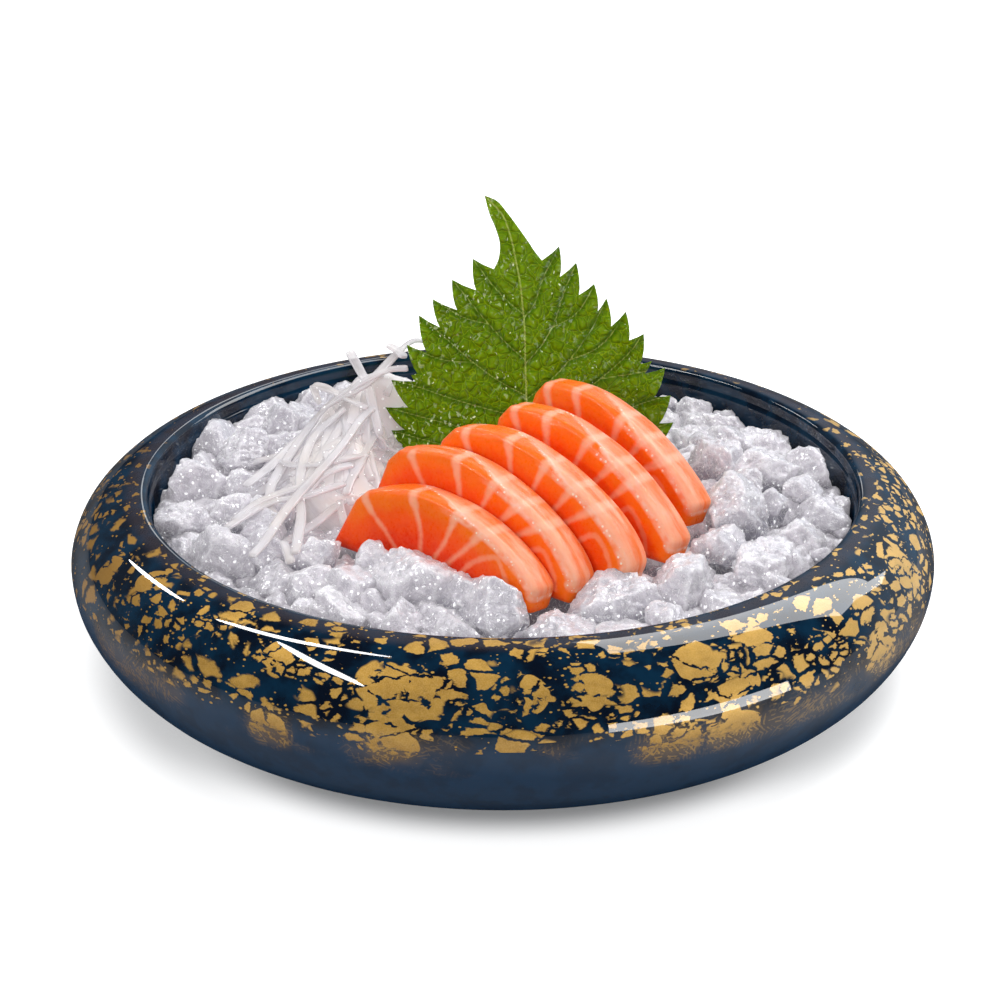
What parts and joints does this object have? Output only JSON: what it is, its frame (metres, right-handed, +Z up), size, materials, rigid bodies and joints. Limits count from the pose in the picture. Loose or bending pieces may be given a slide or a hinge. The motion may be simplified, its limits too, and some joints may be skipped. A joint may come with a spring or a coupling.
{
  "type": "sashimi plate",
  "caption": "Salmon sashimi slices, a shiso leaf and shredded radish on crushed ice in a round glazed bowl with a thick rolled rim.",
  "frame": {"origin": "middle of the bowl's foot ring, on the surface that the bowl stands on", "axes": "+Z up; -Y is the front, towards which the cut faces of the slices look; +X is the right-hand side seen from the front"},
  "size_m": [0.22, 0.22, 0.1081],
  "materials": {
    "glaze": "glossy dark navy glaze with crackled gold flakes",
    "ice": "cloudy wet crushed ice",
    "salmon": "moist raw salmon with pale fat lines",
    "leaf": "thin veined leaf with a slight sheen",
    "radish": "damp translucent white strands"
  },
  "bodies": {
    "root": {"bowl": "glaze", "ice": "ice", "daikon": "radish", "salmon_slice_1": "salmon", "salmon_slice_2": "salmon", "salmon_slice_3": "salmon", "salmon_slice_4": "salmon", "salmon_slice_5": "salmon", "shiso_leaf": "leaf"}
  },
  "joints": []
}
